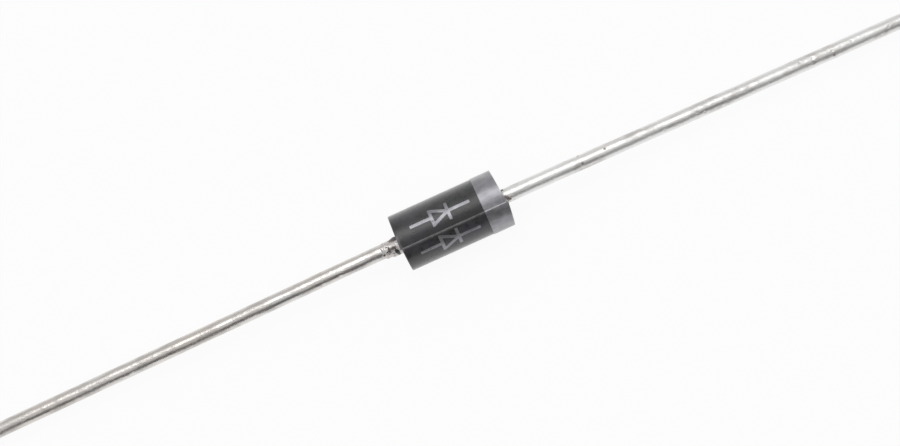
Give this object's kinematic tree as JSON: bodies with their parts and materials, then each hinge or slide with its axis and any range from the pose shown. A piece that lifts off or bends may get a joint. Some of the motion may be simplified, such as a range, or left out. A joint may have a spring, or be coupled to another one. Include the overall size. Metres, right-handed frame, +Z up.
{
  "type": "axial rectifier diode",
  "caption": "Axial rectifier diode lying on its side: a moulded dark grey cylinder with a silver-grey band at its cathode end and a tinned wire out of each end.",
  "frame": {"origin": "on the wires' axis, at the middle of the moulded body", "axes": "+X along the wires towards the cathode band, +Y across the body, +Z up from the surface that the body lies on"},
  "size_m": [0.0606, 0.0034, 0.0034],
  "materials": {
    "epoxy": "moulded epoxy, dark grey, satin with a fine grain",
    "tinned_wire": "hot-tinned, semi-bright",
    "band_ink": "silver-grey printing ink, satin",
    "silicon": "lapped silicon, dark grey",
    "solder": "high-lead solder, dull silver",
    "silicone": "cured white silicone, satin"
  },
  "bodies": {
    "root": {"epoxy_body": "epoxy", "anode_lead": "tinned_wire", "cathode_lead": "tinned_wire", "cathode_band": "band_ink", "silicon_die": "silicon", "anode_solder": "solder", "cathode_solder": "solder", "junction_coating": "silicone"}
  },
  "joints": []
}
